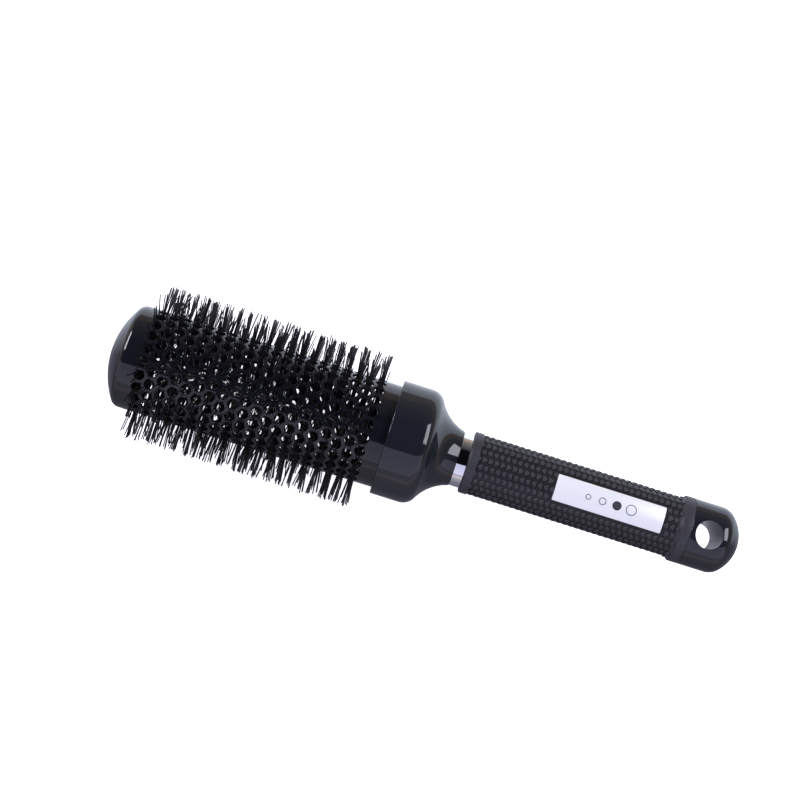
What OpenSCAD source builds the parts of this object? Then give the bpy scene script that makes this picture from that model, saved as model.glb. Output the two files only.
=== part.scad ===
// Vented round barrel brush.
// The brush lies along X: head towards -X, tail towards +X. The origin is the centre of the hanging hole,
// whose axis is Z. Lengths are millimetres.

/* [Barrel] */
// Outside diameter of the barrel
barrel_d = 43; // [34:1:54]
// Wall thickness of the barrel tube
barrel_wall = 1; // [0.6:0.1:1.5]
// Length of the barrel tube, with the part inside the collar
barrel_len = 120.7; // [90:0.1:150]
// Radius of the rolled front edge
roll_r = 3.6; // [2.5:0.1:4.5]
// Length of the rolled front edge
roll_len = 2.7; // [1.5:0.1:3]

/* [Vents] */
// Width of a hexagonal vent across its flats
vent_w = 4.1; // [2.5:0.1:4.5]
// Distance between two rings of vents
ring_pitch = 4.85; // [4.1:0.05:7]
// Distance between two vents of one ring, round the barrel
vent_pitch = 5.63; // [5:0.01:7]
// Distance from the barrel's front edge to the first ring
first_ring = 9.95; // [8:0.05:14]
// Smallest distance from the last ring to the collar
last_ring_margin = 8; // [4:0.1:15]

/* [Bristles] */
// Diameter over the bristle tips
bristle_d = 66; // [56:1:80]
// Thickness of one tuft
tuft_d = 1.3; // [0.8:0.1:2]
// Thickness of the packed roots of a row
root_t = 2; // [1:0.1:3]

/* [Stem] */
// Diameter of the stem wire
wire_d = 2; // [1.5:0.1:2.5]
// Space between the two strands, filled by the bristle roots
strand_gap = 0.4; // [0.3:0.1:0.8]
// Length of one full twist
twist_pitch = 12; // [8:1:20]
// Length of the stem inside the handle core
stem_tail = 12; // [10:1:40]

/* [Nose] */
// Radius of the domed face
dome_r = 35; // [26:0.5:45]
// Wall thickness of the cap
dome_t = 2; // [1.2:0.1:3]
// Length of the skirt inside the barrel
skirt_len = 4; // [2.5:0.1:4]

/* [Collar] */
// Length of the collar
collar_len = 29.6; // [26:0.1:40]
// Wall thickness over the barrel
collar_wall = 2.4; // [1.8:0.1:4]
// How far the barrel goes into the collar
barrel_seat = 10; // [6:0.5:12]
// Radius of the rounded shoulder
shoulder_r = 6.5; // [4:0.1:8]
// Radius of the hollow flare behind the shoulder
flare_r = 18.4; // [14:0.1:24]
// Diameter of the collar's rear end
neck_d = 23; // [21.8:0.1:26]

/* [Chrome ring] */
// Visible length of the ring
ring_len = 4.5; // [2:0.1:8]
// Outside diameter of the ring
ring_d = 22.4; // [21:0.1:25]

/* [Grip] */
// Length of the grip
grip_len = 93.2; // [85:0.1:120]
// Diameter over the bumps
grip_d = 25.2; // [24:0.1:30]
// Length of the smooth front band
front_band = 3.7; // [2:0.1:8]
// How much thicker the front band is, in diameter
front_band_rise = 0.6; // [0:0.1:1.5]
// Length of the smooth rear band
rear_band = 3.8; // [2:0.1:8]
// Length of the slope up to the rear band
rear_slope = 1.9; // [1:0.1:4]
// Outside diameter of the handle core
core_d = 18; // [16:0.1:19]
// Wall thickness of the handle core
core_wall = 2.6; // [2:0.1:4]

/* [Label plate] */
// Length of the plate
label_len = 45.4; // [20:0.1:60]
// Width of the plate
label_w = 10.9; // [6:0.1:14]
// Thickness of the plate
label_t = 0.7; // [0.5:0.1:1]
// Corner radius of the plate
label_corner = 0.4; // [0.3:0.1:3]
// Distance from the grip's rear end to the plate
label_back = 11.5; // [7:0.1:20]

/* [Tail] */
// Diameter of the tail cap
tail_d = 27.6; // [26:0.1:34]
// Material between the hanging hole and the end of the tail
tail_end_wall = 8.65; // [5:0.05:12]
// Material between the hanging hole and the grip
tail_front_wall = 1.85; // [1.5:0.05:10]
// Radius of the tail's rounded edge
tail_edge_r = 7.4; // [5:0.1:8]
// Length over which the tail rounds off
tail_round_len = 10.1; // [9:0.1:11]
// Diameter of the hanging hole
hang_d = 11.5; // [6:0.1:14]
// Length of the tail cap's spigot inside the handle core
tail_spigot = 16; // [8:1:30]

/* [Clearances] */
// Radial clearance between parts that slide together
fit_gap = 0.1; // [0.05:0.01:0.2]
// Clearance round the label plate
label_gap = 0.15; // [0.1:0.01:0.3]

/* [Hidden] */
$fn = 96;
over = 1; // how far a cut runs past what it cuts

barrel_r = barrel_d / 2;
bore_r = barrel_r - barrel_wall;
core_r = core_d / 2;
core_bore_r = core_r - core_wall;
grip_r = grip_d / 2;
tail_r = tail_d / 2;

grip_rear_x = -hang_d / 2 - tail_front_wall;
grip_front_x = grip_rear_x - grip_len;
collar_rear_x = grip_front_x - ring_len;
collar_front_x = collar_rear_x - collar_len;
barrel_rear_x = collar_front_x + barrel_seat;
barrel_front_x = barrel_rear_x - barrel_len;

roll_x = barrel_front_x + roll_len; // where the edge starts to roll in
lip_out_r = barrel_r - roll_r + sqrt(pow(roll_r, 2) - pow(roll_len, 2));
lip_in_r = lip_out_r - barrel_wall;

vents_round = 2 * round(PI * barrel_d / vent_pitch / 2);
vent_step = 360 / vents_round;
ring_count = floor((collar_front_x - last_ring_margin - barrel_front_x - first_ring) / ring_pitch) + 1;

strand_r = (wire_d + strand_gap) / 2; // from the stem's axis to a strand's centre
stem_r = strand_r + wire_d / 2;
root_in_r = stem_r + fit_gap;
root_wall = 2; // the least that the packed roots stand out of the stem
root_pack = 1.15; // room for each tuft at the roots, in tuft thicknesses
root_out_r = max(stem_r + root_wall, root_pack * tuft_d * vents_round / (2 * PI));
bristle_r = bristle_d / 2;

dome_centre_x = barrel_front_x + sqrt(pow(dome_r, 2) - pow(lip_out_r, 2));
skirt_r = lip_in_r - fit_gap;
skirt_rear_x = barrel_front_x + skirt_len;
snap_bite = 0.4; // how far the snap bead catches behind the lip
snap_len = 1;
snap_r = lip_in_r + snap_bite;
bush_t = 3;
stem_front_x = skirt_rear_x - bush_t - wire_d;
rear_bush_t = 6;
rear_boss_len = 9;
rear_boss_r = core_bore_r - fit_gap;
core_front_x = barrel_rear_x + fit_gap;
stem_rear_x = core_front_x + stem_tail;

collar_r = barrel_r + fit_gap + collar_wall;
pocket_r = barrel_r + fit_gap;
ledge_r = bore_r - fit_gap;
ledge_len = 4.5; // the hollow behind the barrel's rear edge
neck_r = neck_d / 2;
flare_over = 4.7; // the flare would end this far behind the collar
flare_centre = [neck_r + sqrt(pow(flare_r, 2) - pow(flare_over, 2)), collar_rear_x + flare_over];
shoulder_c_r = collar_r - shoulder_r;
shoulder_centre = [
    shoulder_c_r,
    flare_centre.y - sqrt(pow(flare_r + shoulder_r, 2) - pow(flare_centre.x - shoulder_c_r, 2))
];
flare_start = flare_centre + (shoulder_centre - flare_centre) * flare_r / (flare_r + shoulder_r);

sleeve_in_r = core_r + fit_gap / 2;
edge_r = 0.6; // rounded edges of the bands and the ring
label_rear_x = grip_rear_x - label_back;
label_front_x = label_rear_x - label_len;
label_rise = 0.1; // the plate stands just proud of the bumps
label_out_r = grip_r + label_rise;
label_in_r = label_out_r - label_t;

tail_end_x = hang_d / 2 + tail_end_wall;
edge_c_r = tail_r - tail_edge_r;
edge_c_x = tail_end_x - tail_round_len; // where the tail's side starts to round over
end_c_x = (pow(edge_c_r, 2) + pow(edge_c_x, 2) - pow(tail_end_x - tail_edge_r, 2))
    / (2 * (edge_c_x - tail_end_x + tail_edge_r)); // centre of the tail's end dome, tangent to the edge
end_r = tail_end_x - end_c_x;

function two_digits(i) = str(i < 10 ? "0" : "", i);
function row_name(i) = str("bristle_row_", two_digits(i));

// Turns a profile drawn as [radius, X] round the brush's axis
module lathe() {
    rotate([0, 90, 0]) rotate_extrude() children();
}

// A band of the profile between two radii and two places on the axis
module band(r0, r1, x0, x1) {
    translate([r0, x0]) square([r1 - r0, x1 - x0]);
}

// A band whose two outer corners are rounded
module soft_band(r0, r1, x0, x1, r = edge_r) {
    band(r0, r1 - r, x0, x1);
    band(r0, r1, x0 + r, x1 - r);
    for (x = [x0 + r, x1 - r]) translate([r1 - r, x]) circle(r);
}

// Where a ring of vents sits, and how far it is turned from its neighbour
function ring_x(i) = barrel_front_x + first_ring + (i - 1) * ring_pitch;
function ring_turn(i) = (i % 2) * vent_step / 2;

// Puts its children at each vent of ring i, with +Z pointing out of the barrel
module at_vents(i) {
    for (k = [0:vents_round - 1])
        translate([ring_x(i), 0, 0]) rotate([k * vent_step + ring_turn(i), 0, 0]) children();
}

module barrel_tube() {
    vent_corner_d = vent_w / cos(30);
    color("#17171b") difference() {
        lathe() {
            band(bore_r, barrel_r, roll_x, barrel_rear_x);
            intersection() {
                translate([barrel_r - roll_r, roll_x]) difference() {
                    circle(roll_r);
                    circle(roll_r - barrel_wall);
                }
                band(lip_in_r, barrel_r, barrel_front_x, roll_x);
            }
        }
        for (i = [1:ring_count]) at_vents(i)
            translate([0, 0, bore_r - over]) cylinder(d = vent_corner_d, h = barrel_wall + 2 * over, $fn = 6);
    }
}

module nose_cap() {
    color("#17171b") lathe() {
        intersection() {
            translate([0, dome_centre_x]) difference() {
                circle(dome_r);
                circle(dome_r - dome_t);
            }
            band(0, lip_out_r, dome_centre_x - dome_r, barrel_front_x);
        }
        band(skirt_r - dome_t, skirt_r, barrel_front_x - dome_t, skirt_rear_x);
        band(skirt_r - dome_t, snap_r, skirt_rear_x - snap_len, skirt_rear_x);
    }
}

module nose_bush() {
    color("#2a2a2e") lathe() {
        band(stem_r + fit_gap, skirt_r - dome_t - fit_gap, skirt_rear_x - bush_t, skirt_rear_x);
    }
}

// Two wires twisted together, with the bristle roots gripped between them
module twisted_wire() {
    stem_len = stem_rear_x - stem_front_x;
    steps_a_twist = 10;
    color("#9a9ca0") translate([stem_front_x, 0, 0]) rotate([0, 90, 0])
        linear_extrude(
            height = stem_len,
            twist = -360 * stem_len / twist_pitch,
            slices = round(steps_a_twist * stem_len / twist_pitch),
            $fn = 8
        )
        for (s = [-1, 1]) translate([s * strand_r, 0]) circle(d = wire_d, $fn = 8);
}

// The bristles that come out through ring i: tufts that fan out of the stem
module bristle_row(i) {
    color("#1d1d20") {
        translate([ring_x(i) - root_t / 2, 0, 0]) rotate([0, 90, 0]) difference() {
            cylinder(r = root_out_r, h = root_t);
            translate([0, 0, -over]) cylinder(r = root_in_r, h = root_t + 2 * over);
        }
        at_vents(i) translate([0, 0, root_out_r - tuft_d / 2])
            cylinder(d = tuft_d, h = bristle_r - root_out_r + tuft_d / 2, $fn = 6);
    }
}

module rear_bush() {
    color("#2a2a2e") lathe() {
        band(root_in_r, bore_r - fit_gap, barrel_rear_x - rear_bush_t, barrel_rear_x);
        band(root_in_r, rear_boss_r, barrel_rear_x - over, barrel_rear_x + rear_boss_len);
    }
}

module collar() {
    color("#141417") lathe() difference() {
        union() {
            polygon([
                [0, collar_front_x],
                [collar_r, collar_front_x],
                [collar_r, shoulder_centre.y],
                [0, shoulder_centre.y]
            ]);
            translate(shoulder_centre) circle(shoulder_r);
            difference() {
                polygon([
                    [0, shoulder_centre.y],
                    shoulder_centre,
                    flare_start,
                    [flare_start.x, collar_rear_x],
                    [0, collar_rear_x]
                ]);
                translate(flare_centre) circle(flare_r);
            }
        }
        translate([-over, collar_front_x - over]) square([pocket_r + over, barrel_seat + over]);
        translate([-over, barrel_rear_x - over]) square([ledge_r + over, ledge_len + over]);
        translate([-over, barrel_rear_x]) square([core_r + fit_gap + over, collar_len]);
    }
}

module handle_core() {
    color("#2a2a2e") lathe() {
        band(core_bore_r, core_r, core_front_x, grip_rear_x);
    }
}

module chrome_ring() {
    color("#d8d8dc") lathe() {
        soft_band(core_r + fit_gap, ring_d / 2, collar_rear_x, grip_front_x, r = edge_r / 2);
    }
}

// The outline of the label plate, a rounded rectangle seen from +Z, made bigger all round by grow
module label_outline(grow = 0) {
    x0 = label_front_x - grow;
    x1 = label_rear_x + grow;
    y = label_w / 2 + grow;
    r = label_corner + grow;
    translate([x0 + r, -y]) square([x1 - x0 - 2 * r, 2 * y]);
    translate([x0, -y + r]) square([x1 - x0, 2 * (y - r)]);
    for (x = [x0 + r, x1 - r], s = [-1, 1]) translate([x, s * (y - r)]) circle(r);
}

module grip_sleeve() {
    color("#3b3b3f") difference() {
        lathe() {
            soft_band(sleeve_in_r, grip_r + front_band_rise / 2, grip_front_x, grip_front_x + front_band);
            band(sleeve_in_r, grip_r, grip_front_x + front_band - edge_r, grip_rear_x - rear_band);
            polygon([
                [sleeve_in_r, grip_rear_x - rear_band - rear_slope],
                [grip_r, grip_rear_x - rear_band - rear_slope],
                [tail_r, grip_rear_x - rear_band],
                [tail_r, grip_rear_x],
                [sleeve_in_r, grip_rear_x]
            ]);
        }
        difference() {
            linear_extrude(grip_r + over) label_outline(label_gap);
            lathe() band(0, label_in_r - fit_gap, label_front_x - over, label_rear_x + over);
        }
    }
}

module label_plate() {
    color("#dfe1e8") intersection() {
        linear_extrude(label_out_r + over) label_outline();
        lathe() band(label_in_r, label_out_r, label_front_x - over, label_rear_x + over);
    }
}

// Gloss end cap: a straight side, a rounded edge and a domed end that run into each other
module tail_cap() {
    spread = 3 * tail_r; // makes the wedge reach past the dome
    wedge_dir = [edge_c_r, edge_c_x - end_c_x];
    color("#17171b") difference() {
        lathe() {
            soft_band(0, tail_r, grip_rear_x, edge_c_x + edge_r);
            intersection() {
                translate([edge_c_r, edge_c_x]) circle(tail_edge_r);
                band(0, tail_r, grip_rear_x, tail_end_x);
            }
            intersection() {
                translate([0, end_c_x]) circle(end_r);
                polygon([
                    [0, end_c_x],
                    [0, end_c_x + spread],
                    [0, end_c_x] + wedge_dir * spread / norm(wedge_dir)
                ]);
            }
            band(0, core_bore_r - fit_gap, grip_rear_x - tail_spigot, grip_rear_x + over);
        }
        translate([0, 0, -tail_r - over]) cylinder(d = hang_d, h = tail_d + 2 * over);
    }
}

barrel_tube();
nose_cap();
nose_bush();
twisted_wire();
for (i = [1:ring_count]) bristle_row(i);
rear_bush();
collar();
handle_core();
chrome_ring();
grip_sleeve();
label_plate();
tail_cap();
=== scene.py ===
import bpy
import bmesh
import math
from mathutils import Matrix, Vector


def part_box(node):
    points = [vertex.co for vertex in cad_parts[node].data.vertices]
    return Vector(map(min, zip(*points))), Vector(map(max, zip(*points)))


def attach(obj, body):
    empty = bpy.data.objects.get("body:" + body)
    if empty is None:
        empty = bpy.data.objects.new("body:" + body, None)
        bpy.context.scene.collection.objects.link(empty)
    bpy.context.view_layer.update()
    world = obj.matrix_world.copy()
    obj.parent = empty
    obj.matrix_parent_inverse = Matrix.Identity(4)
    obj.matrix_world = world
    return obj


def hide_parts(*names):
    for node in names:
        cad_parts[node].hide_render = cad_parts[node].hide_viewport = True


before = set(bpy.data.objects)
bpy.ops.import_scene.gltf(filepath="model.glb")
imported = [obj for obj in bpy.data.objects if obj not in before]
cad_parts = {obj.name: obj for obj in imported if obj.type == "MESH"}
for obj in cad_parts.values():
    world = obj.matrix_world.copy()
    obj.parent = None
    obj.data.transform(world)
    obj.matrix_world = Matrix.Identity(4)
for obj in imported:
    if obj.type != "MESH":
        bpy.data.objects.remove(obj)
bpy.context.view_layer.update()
body = "root"
mm = 0.001


# helpers shared by the pieces

def toLinear(hexColour, alpha=1.0):
    # an sRGB hex value as the linear colour that the shaders work in
    parts = [int(hexColour[i:i + 2], 16) / 255 for i in (1, 3, 5)]
    return [c / 12.92 if c <= 0.04045 else ((c + 0.055) / 1.055) ** 2.4 for c in parts] + [alpha]


def addNode(tree, kind, inputs=None, **settings):
    # inputs holds a value, a socket or a node whose first output is wanted
    node = tree.nodes.new(kind)
    for name, value in settings.items():
        setattr(node, name, value)
    for key, value in (inputs or {}).items():
        if isinstance(value, bpy.types.Node):
            value = value.outputs[0]
        if isinstance(value, bpy.types.NodeSocket):
            tree.links.new(value, node.inputs[key])
        else:
            node.inputs[key].default_value = value
    return node


def newMaterial(name, **surface):
    # surface gives the Principled sockets that are the same all over, with _ for a space
    material = bpy.data.materials.new(name)
    material.use_nodes = True
    tree = material.node_tree
    shader = tree.nodes["Principled BSDF"]
    for socket, value in surface.items():
        shader.inputs[socket.replace("_", " ")].default_value = value
    return material, tree, shader


def newPiece(name, mesh, material, stands=()):
    # a finished mesh as a piece of the brush that rides on its body
    piece = bpy.data.objects.new(name, mesh)
    bpy.context.scene.collection.objects.link(piece)
    if material:
        mesh.materials.clear()
        mesh.materials.append(material)
    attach(piece, body)
    if stands:
        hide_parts(*stands)
    return piece


def smooth(mesh, degrees=35):
    mesh.shade_smooth()
    mesh.set_sharp_from_angle(angle=math.radians(degrees))
    return mesh


def arc(centre, radius, start, end, count):
    # points (x, radius) on an arc, angles in degrees from +X towards the outside
    steps = [math.radians(start + (end - start) * i / count) for i in range(count + 1)]
    return [(centre[0] + radius * math.cos(a), centre[1] + radius * math.sin(a)) for a in steps]


def turned(name, profile, closed=True, segments=128):
    # turns a profile of (x, radius) points round the brush's axis; points on the axis become poles
    mesh = bpy.data.meshes.new(name)
    work = bmesh.new()
    rings = []
    for x, radius in profile:
        if radius < 1e-7:
            rings.append([work.verts.new((x, 0, 0))] * segments)
            continue
        angles = [2 * math.pi * k / segments for k in range(segments)]
        rings.append([work.verts.new((x, radius * math.sin(a), radius * math.cos(a))) for a in angles])
    last = len(rings) if closed else len(rings) - 1
    for i in range(last):
        here, there = rings[i], rings[(i + 1) % len(rings)]
        for k in range(segments):
            corners = [here[k], here[(k + 1) % segments], there[(k + 1) % segments], there[k]]
            corners = list(dict.fromkeys(corners))
            if len(corners) > 2:
                work.faces.new(corners)
    bmesh.ops.recalc_face_normals(work, faces=work.faces)
    work.to_mesh(mesh)
    work.free()
    return smooth(mesh)


def newTree(name, sockets):
    # an empty Geometry Nodes tree with named inputs and one geometry output
    tree = bpy.data.node_groups.new(name, "GeometryNodeTree")
    for label, kind, value in sockets:
        socket = tree.interface.new_socket(label, in_out="INPUT", socket_type=kind)
        if value is not None:
            socket.default_value = value
    tree.interface.new_socket("Geometry", in_out="OUTPUT", socket_type="NodeSocketGeometry")
    return tree, addNode(tree, "NodeGroupInput").outputs, addNode(tree, "NodeGroupOutput")


def grow(tree, name, values):
    # runs a tree with these inputs and returns its result as a plain mesh
    holder = bpy.data.objects.new(name, bpy.data.meshes.new(name + "Seed"))
    bpy.context.scene.collection.objects.link(holder)
    modifier = holder.modifiers.new(name, "NODES")
    modifier.node_group = tree
    for item in tree.interface.items_tree:
        if item.in_out == "INPUT" and item.name in values:
            modifier[item.identifier] = values[item.name]
    holder.update_tag()
    bpy.context.view_layer.update()
    mesh = bpy.data.meshes.new_from_object(holder.evaluated_get(bpy.context.evaluated_depsgraph_get()))
    mesh.name = name
    bpy.data.objects.remove(holder)
    return mesh


# places taken from the frame

barrelLow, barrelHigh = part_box("barrel_tube")
collarLow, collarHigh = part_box("collar")
noseLow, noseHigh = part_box("nose_cap")
ringLow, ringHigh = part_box("chrome_ring")
gripLow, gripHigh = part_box("grip_sleeve")
labelLow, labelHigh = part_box("label_plate")
tailLow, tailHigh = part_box("tail_cap")
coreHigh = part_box("handle_core")[1]
rowNodes = sorted(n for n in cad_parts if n.startswith("bristle_row_"))
rowX = [sum(corner.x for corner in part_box(n)) / 2 for n in rowNodes]
rowPitch = (rowX[-1] - rowX[0]) / (len(rowX) - 1)
barrelR = barrelHigh.z
bristleR = max(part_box(n)[1].z for n in rowNodes)
gripPadR = labelHigh.z - 0.1 * mm
print("frame read:", len(rowNodes), "rows of bristles")


# camera

camera = {"lens": 74.25, "distance": 0.6725, "elevation": 83.0, "roll": 17.5,
          "aimX": -0.1343, "aimUp": 0.0158}
tilt = math.radians(camera["elevation"])
back = Vector((0, -math.cos(tilt), math.sin(tilt)))
up = Vector((0, math.sin(tilt), math.cos(tilt)))
turn = math.radians(camera["roll"])
right = Vector((math.cos(turn), 0, 0)) + up * math.sin(turn)
lens = bpy.data.cameras.new("studioCamera")
lens.lens = camera["lens"]
lens.clip_start = 0.01
lens.clip_end = 20
viewer = bpy.data.objects.new("studioCamera", lens)
bpy.context.scene.collection.objects.link(viewer)
aim = Vector((camera["aimX"], 0, 0)) + up * camera["aimUp"]
viewer.matrix_world = Matrix.Translation(aim + back * camera["distance"]) @ Matrix(
    (right, back.cross(right), back)).transposed().to_4x4()
bpy.context.scene.camera = viewer


# materials

# ceramic coat on aluminium: sprayed and cured, so it is black and wet-looking with a faint orange peel
def ceramicCoat():
    material, tree, shader = newMaterial(
        "ceramicCoatSprayed", Base_Color=toLinear("#17181f"), Roughness=0.09, IOR=1.5)
    place = addNode(tree, "ShaderNodeTexCoord").outputs["Object"]
    peel = addNode(tree, "ShaderNodeTexNoise", {"Vector": place, "Scale": 500.0, "Detail": 2.0})
    relief = addNode(tree, "ShaderNodeBump", {"Height": peel, "Strength": 0.05, "Distance": 0.00005})
    tree.links.new(relief.outputs[0], shader.inputs["Normal"])
    return material


# ABS moulded in a polished tool: deep gloss, edges of reflections stay sharp
def polishedAbs():
    material, tree, shader = newMaterial(
        "absMouldedGloss", Base_Color=toLinear("#1d2027"), Roughness=0.06, IOR=1.5)
    place = addNode(tree, "ShaderNodeTexCoord").outputs["Object"]
    flow = addNode(tree, "ShaderNodeTexNoise", {"Vector": place, "Scale": 140.0, "Detail": 3.0})
    sheen = addNode(tree, "ShaderNodeMapRange", {"Value": flow, "To Min": 0.04, "To Max": 0.09})
    tree.links.new(sheen.outputs[0], shader.inputs["Roughness"])
    return material


# nylon 6 filament: drawn, so it has a satin gloss along its length
def drawnNylon():
    material, tree, shader = newMaterial(
        "nylonFilamentDrawn", Base_Color=toLinear("#131316"), Roughness=0.32, IOR=1.53)
    place = addNode(tree, "ShaderNodeTexCoord").outputs["Object"]
    fleck = addNode(tree, "ShaderNodeTexNoise", {"Vector": place, "Scale": 300.0, "Detail": 1.0})
    shade = addNode(tree, "ShaderNodeMapRange", {"Value": fleck, "To Min": 0.24, "To Max": 0.42})
    tree.links.new(shade.outputs[0], shader.inputs["Roughness"])
    return material


# EPDM rubber, moulded: charcoal, matte, with painted shade making it darker down between the pads than on
# them
def mouldedRubber():
    material, tree, shader = newMaterial("epdmRubberMoulded", Roughness=0.5, IOR=1.5)
    place = addNode(tree, "ShaderNodeTexCoord").outputs["Object"]
    cloud = addNode(tree, "ShaderNodeTexNoise", {"Vector": place, "Scale": 220.0, "Detail": 3.0})
    tint = addNode(tree, "ShaderNodeMix", {"Factor": cloud, 6: toLinear("#2b2b33"), 7: toLinear("#35353e")},
                   data_type="RGBA")
    flat = addNode(tree, "ShaderNodeVectorMath", {0: place, 1: (0.0, 1.0, 1.0)}, operation="MULTIPLY")
    out = addNode(tree, "ShaderNodeVectorMath", {0: flat}, operation="LENGTH").outputs["Value"]
    # painted shade: the rubber turns near black down in the grooves between the pads, by distance from the
    # axis
    depth = addNode(tree, "ShaderNodeMapRange", {
        "Value": out, "From Min": gripPadR - 0.5 * mm, "From Max": gripPadR - 0.12 * mm})
    shade = addNode(tree, "ShaderNodeMix", {"Factor": depth, 6: toLinear("#0e0e13"), 7: tint.outputs[2]},
                    data_type="RGBA")
    tree.links.new(shade.outputs[2], shader.inputs["Base Color"])
    grain = addNode(tree, "ShaderNodeTexNoise", {"Vector": place, "Scale": 4000.0, "Detail": 2.0})
    relief = addNode(tree, "ShaderNodeBump", {"Height": grain, "Strength": 0.25, "Distance": 0.00003})
    tree.links.new(relief.outputs[0], shader.inputs["Normal"])
    return material


# chrome plate on a polished ring: a mirror with only a trace of polishing haze
def polishedChrome():
    material, tree, shader = newMaterial(
        "chromePlatePolished", Base_Color=toLinear("#e4e4e8"), Metallic=1.0, Roughness=0.06)
    place = addNode(tree, "ShaderNodeTexCoord").outputs["Object"]
    haze = addNode(tree, "ShaderNodeTexNoise", {"Vector": place, "Scale": 200.0, "Detail": 2.0})
    blur = addNode(tree, "ShaderNodeMapRange", {"Value": haze, "To Min": 0.04, "To Max": 0.09})
    tree.links.new(blur.outputs[0], shader.inputs["Roughness"])
    return material


# aluminium sheet, brushed along its length, pale and silky, printed with four rings that grow, a size mark
def brushedAluminium():
    material, tree, shader = newMaterial("aluminiumSheetBrushed", Metallic=0.15, Roughness=0.4)
    place = addNode(tree, "ShaderNodeTexCoord").outputs["Object"]
    stretched = addNode(tree, "ShaderNodeMapping", {"Vector": place, "Scale": (60.0, 6000.0, 6000.0)})
    lines = addNode(tree, "ShaderNodeTexNoise", {"Vector": stretched, "Scale": 1.0, "Detail": 3.0})
    sheet = addNode(tree, "ShaderNodeMix", {
        "Factor": lines, 6: toLinear("#eceef4"), 7: toLinear("#fafbff")}, data_type="RGBA")
    middle = (labelLow.x + labelHigh.x) / 2
    ink = None
    for number, radius in enumerate((1.0, 1.35, 1.7, 2.05)):
        spot = addNode(tree, "ShaderNodeVectorMath", {
            0: place, 1: (middle + (number - 1.5) * 6 * mm, 0.0, labelHigh.z)}, operation="DISTANCE")
        away = addNode(tree, "ShaderNodeMath", {0: spot.outputs["Value"], 1: -radius * mm}, operation="ADD")
        if number != 2:
            away = addNode(tree, "ShaderNodeMath", {0: away}, operation="ABSOLUTE")
        mark = addNode(tree, "ShaderNodeMath", {0: away, 1: 0.16 * mm}, operation="LESS_THAN")
        if ink:
            mark = addNode(tree, "ShaderNodeMath", {0: ink, 1: mark}, operation="MAXIMUM")
        ink = mark
    face = addNode(tree, "ShaderNodeMix", {"Factor": ink, 6: sheet.outputs[2], 7: toLinear("#3c3d44")},
                   data_type="RGBA")
    tree.links.new(face.outputs[2], shader.inputs["Base Color"])
    blur = addNode(tree, "ShaderNodeMapRange", {"Value": lines, "To Min": 0.32, "To Max": 0.5})
    tree.links.new(blur.outputs[0], shader.inputs["Roughness"])
    relief = addNode(tree, "ShaderNodeBump", {"Height": lines, "Strength": 0.2, "Distance": 0.00002})
    tree.links.new(relief.outputs[0], shader.inputs["Normal"])
    return material


# galvanised steel wire: drawn, dull grey with streaks
def drawnWire():
    material, tree, shader = newMaterial(
        "steelWireGalvanised", Base_Color=toLinear("#a9abb0"), Metallic=1.0, Roughness=0.4)
    place = addNode(tree, "ShaderNodeTexCoord").outputs["Object"]
    bloom = addNode(tree, "ShaderNodeTexNoise", {"Vector": place, "Scale": 600.0, "Detail": 3.0})
    blur = addNode(tree, "ShaderNodeMapRange", {"Value": bloom, "To Min": 0.3, "To Max": 0.55})
    tree.links.new(blur.outputs[0], shader.inputs["Roughness"])
    return material


# nylon mouldings inside the brush: plain, straight from the tool, with a spark-eroded texture
def plainNylon():
    material, tree, shader = newMaterial(
        "nylonMouldedPlain", Base_Color=toLinear("#1f1f23"), Roughness=0.6)
    place = addNode(tree, "ShaderNodeTexCoord").outputs["Object"]
    grain = addNode(tree, "ShaderNodeTexNoise", {"Vector": place, "Scale": 1500.0, "Detail": 2.0})
    relief = addNode(tree, "ShaderNodeBump", {"Height": grain, "Strength": 0.2, "Distance": 0.00004})
    tree.links.new(relief.outputs[0], shader.inputs["Normal"])
    return material


coat = ceramicCoat()
gloss = polishedAbs()
nylon = drawnNylon()
rubber = mouldedRubber()
chrome = polishedChrome()
label = brushedAluminium()
wire = drawnWire()
inner = plainNylon()
print("materials made")


# barrel: a sheet of honeycomb tiles, bent into a tube

barrel = {"wall": 1.0 * mm, "ventWidth": 4.1 * mm, "ventsRound": 24, "cornerRadius": 0.7 * mm,
          "rim": 0.12 * mm, "rollRadius": 3.6 * mm, "rollLength": 2.7 * mm}
ventPitch = 2 * math.pi * barrelR / barrel["ventsRound"]


def ventOutline(flats, cornerRadius):
    # a hexagon with its points along X; each corner is cut by two points of its round
    reach = (flats / 2 - cornerRadius) / math.cos(math.radians(30))
    spread = 20
    rounding = cornerRadius / math.cos(math.radians(spread)) ** 0.5
    points = []
    for k in range(6):
        for turnBy in (-spread, spread):
            a = math.radians(60 * k)
            b = a + math.radians(turnBy)
            points.append((reach * math.cos(a) + rounding * math.cos(b),
                           reach * math.sin(a) + rounding * math.sin(b)))
    return points


def cellOutline():
    # the honeycomb cell round a vent, as 12 points: two at each pointed end, so that they face the vent's
    side = (rowPitch ** 2 - ventPitch ** 2 / 4) / (2 * rowPitch)
    tip = rowPitch - side
    corners = [(tip, 0), (side, ventPitch / 2), (-side, ventPitch / 2), (-tip, 0), (-side, -ventPitch / 2),
               (side, -ventPitch / 2)]
    points = []
    for k in range(6):
        before, here, after = corners[k - 1], corners[k], corners[(k + 1) % 6]
        for other in (before, after):
            points.append((here[0] * 0.8 + other[0] * 0.2, here[1] * 0.8 + other[1] * 0.2))
    return points, corners


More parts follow.
